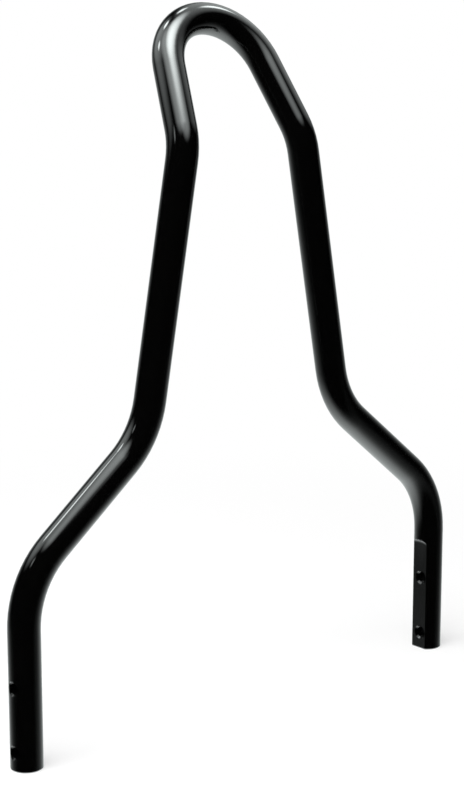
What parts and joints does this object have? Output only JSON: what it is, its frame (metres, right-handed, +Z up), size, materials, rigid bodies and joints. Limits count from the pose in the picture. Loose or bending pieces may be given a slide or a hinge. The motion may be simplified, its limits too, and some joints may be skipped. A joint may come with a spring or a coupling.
{
  "type": "sissy bar",
  "caption": "Gloss black motorbike sissy bar: one solid round steel bar bent into a hairpin, its loop kicked to the rear, its legs flattened and tapped to bolt outside the mudguard struts.",
  "frame": {"origin": "midway between the two legs, level with the middle of their tapped holes", "axes": "+X across, from leg to leg; +Y to the rear of the motorbike, the way the loop kicks; +Z up"},
  "size_m": [0.3446, 0.0577, 0.4252],
  "materials": {
    "gloss_black_coat": "gloss black powder coat on solid steel bar"
  },
  "bodies": {
    "root": {"sissy_bar": "gloss_black_coat"}
  },
  "joints": []
}
